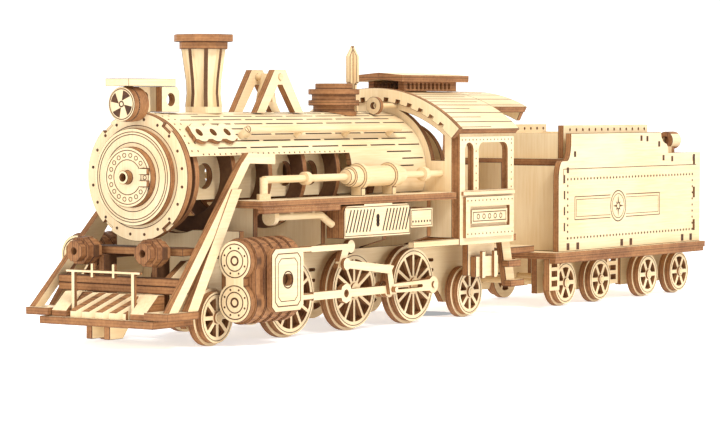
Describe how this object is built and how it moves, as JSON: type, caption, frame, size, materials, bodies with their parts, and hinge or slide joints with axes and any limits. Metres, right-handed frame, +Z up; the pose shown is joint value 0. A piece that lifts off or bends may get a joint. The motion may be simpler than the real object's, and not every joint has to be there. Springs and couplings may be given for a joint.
{
  "type": "wooden jigsaw locomotive",
  "caption": "Laser-cut plywood steam locomotive with tender, slotted together from flat sheets, with rolling wheelsets, main rods, sliding crossheads, swinging bell and hinged tender",
  "frame": {"origin": "on the floor, under the middle of the bounding box", "axes": "+X from the pilot towards the tender, +Z up, -Y is the locomotive's left side"},
  "size_m": [0.3048, 0.0698, 0.0825],
  "materials": {
    "birch_ply": "bare birch plywood face, laser-burnt edges",
    "burnt_edge_ply": "stacked plywood edges, laser-burnt brown"
  },
  "bodies": {
    "locomotive": {"frame_plates": "birch_ply", "cross_members": "birch_ply", "pilot_deck": "birch_ply", "coupler_pocket": "birch_ply", "pilot_slats": "birch_ply", "pilot_beams": "burnt_edge_ply", "buffers": "burnt_edge_ply", "front_handrail": "birch_ply", "step_boards": "birch_ply", "brace_plates": "birch_ply", "smokebox_ring": "burnt_edge_ply", "smokebox_door": "birch_ply", "boiler_shell": "birch_ply", "boiler_ribs": "burnt_edge_ply", "boiler_plates": "birch_ply", "headlamp_disc": "burnt_edge_ply", "headlamp_box": "birch_ply", "headlamp_visor": "birch_ply", "chimney_funnel": "birch_ply", "chimney_caps": "burnt_edge_ply", "bell_frame": "birch_ply", "emblem_plates": "birch_ply", "boiler_handrails": "birch_ply", "steam_dome": "burnt_edge_ply", "whistle": "birch_ply", "running_boards": "birch_ply", "air_tanks": "birch_ply", "air_pipes": "birch_ply", "feed_boxes": "birch_ply", "cylinder_blocks": "burnt_edge_ply", "cylinder_covers": "birch_ply", "cab_sides": "birch_ply", "cab_front": "birch_ply", "roof_arches": "burnt_edge_ply", "cab_roof": "birch_ply", "roof_lantern": "birch_ply", "backhead": "birch_ply", "cab_floor": "birch_ply", "cab_steps": "birch_ply", "fall_plate": "birch_ply"},
    "bell_swing_body": {"bell": "birch_ply"},
    "main_rod_left_body": {"main_rod_left": "birch_ply"},
    "main_rod_right_body": {"main_rod_right": "birch_ply"},
    "crosshead_left_body": {"crosshead_left": "birch_ply"},
    "crosshead_right_body": {"crosshead_right": "birch_ply"},
    "tender": {"tender_base": "birch_ply", "tender_sides": "birch_ply", "tender_walls": "birch_ply", "tender_bunker": "birch_ply", "tender_trucks": "birch_ply", "tender_fittings": "birch_ply"},
    "leading_wheelset_body": {"leading_wheelset": "birch_ply"},
    "driver_wheelset_1_body": {"driver_wheelset_1": "birch_ply"},
    "driver_wheelset_2_body": {"driver_wheelset_2": "birch_ply"},
    "driver_wheelset_3_body": {"driver_wheelset_3": "birch_ply"},
    "trailing_wheelset_body": {"trailing_wheelset": "birch_ply"},
    "tender_wheelset_1_body": {"tender_wheelset_1": "birch_ply"},
    "tender_wheelset_2_body": {"tender_wheelset_2": "birch_ply"},
    "tender_wheelset_3_body": {"tender_wheelset_3": "birch_ply"},
    "tender_wheelset_4_body": {"tender_wheelset_4": "birch_ply"}
  },
  "joints": [
    {"name": "leading_wheelset_roll", "type": "hinge", "parent": "locomotive", "child": "leading_wheelset_body", "pos_m": [-0.12675, 0, 0.0076], "axis": [0, 1, 0], "continuous": true},
    {"name": "driver_wheelset_1_roll", "type": "hinge", "parent": "locomotive", "child": "driver_wheelset_1_body", "pos_m": [-0.09395, 0, 0.0113], "axis": [0, 1, 0], "continuous": true},
    {"name": "driver_wheelset_2_roll", "type": "hinge", "parent": "locomotive", "child": "driver_wheelset_2_body", "pos_m": [-0.06405, 0, 0.0113], "axis": [0, 1, 0], "continuous": true},
    {"name": "driver_wheelset_3_roll", "type": "hinge", "parent": "locomotive", "child": "driver_wheelset_3_body", "pos_m": [-0.03415, 0, 0.0113], "axis": [0, 1, 0], "continuous": true},
    {"name": "trailing_wheelset_roll", "type": "hinge", "parent": "locomotive", "child": "trailing_wheelset_body", "pos_m": [-0.00385, 0, 0.0076], "axis": [0, 1, 0], "continuous": true},
    {"name": "tender_wheelset_1_roll", "type": "hinge", "parent": "tender", "child": "tender_wheelset_1_body", "pos_m": [0.05225, 0, 0.0074], "axis": [0, 1, 0], "continuous": true},
    {"name": "tender_wheelset_2_roll", "type": "hinge", "parent": "tender", "child": "tender_wheelset_2_body", "pos_m": [0.07415, 0, 0.0074], "axis": [0, 1, 0], "continuous": true},
    {"name": "tender_wheelset_3_roll", "type": "hinge", "parent": "tender", "child": "tender_wheelset_3_body", "pos_m": [0.10555, 0, 0.0074], "axis": [0, 1, 0], "continuous": true},
    {"name": "tender_wheelset_4_roll", "type": "hinge", "parent": "tender", "child": "tender_wheelset_4_body", "pos_m": [0.12725, 0, 0.0074], "axis": [0, 1, 0], "continuous": true},
    {"name": "main_rod_left_pivot", "type": "hinge", "parent": "driver_wheelset_3_body", "child": "main_rod_left_body", "pos_m": [-0.02985, -0.0232, 0.0113], "axis": [0, 1, 0], "continuous": true},
    {"name": "crosshead_left_slide", "type": "slide", "parent": "locomotive", "child": "crosshead_left_body", "axis": [1, 0, 0], "range_m": [-0.0086, 0]},
    {"name": "main_rod_right_pivot", "type": "hinge", "parent": "driver_wheelset_3_body", "child": "main_rod_right_body", "pos_m": [-0.02985, 0.0232, 0.0113], "axis": [0, 1, 0], "continuous": true},
    {"name": "crosshead_right_slide", "type": "slide", "parent": "locomotive", "child": "crosshead_right_body", "axis": [1, 0, 0], "range_m": [-0.0086, 0]},
    {"name": "tender_yaw", "type": "hinge", "parent": "locomotive", "child": "tender", "pos_m": [0.024, 0, 0.0146], "axis": [0, 0, 1], "range_deg": [-6, 6]},
    {"name": "bell_swing", "type": "hinge", "parent": "locomotive", "child": "bell_swing_body", "pos_m": [-0.0786, 0, 0.0712], "axis": [0, 1, 0], "range_deg": [-18, 18]}
  ],
  "couplings": [
    {"joint": "main_rod_left_pivot", "follows": "driver_wheelset_3_roll", "ratio": -1},
    {"joint": "main_rod_right_pivot", "follows": "driver_wheelset_3_roll", "ratio": -1}
  ]
}
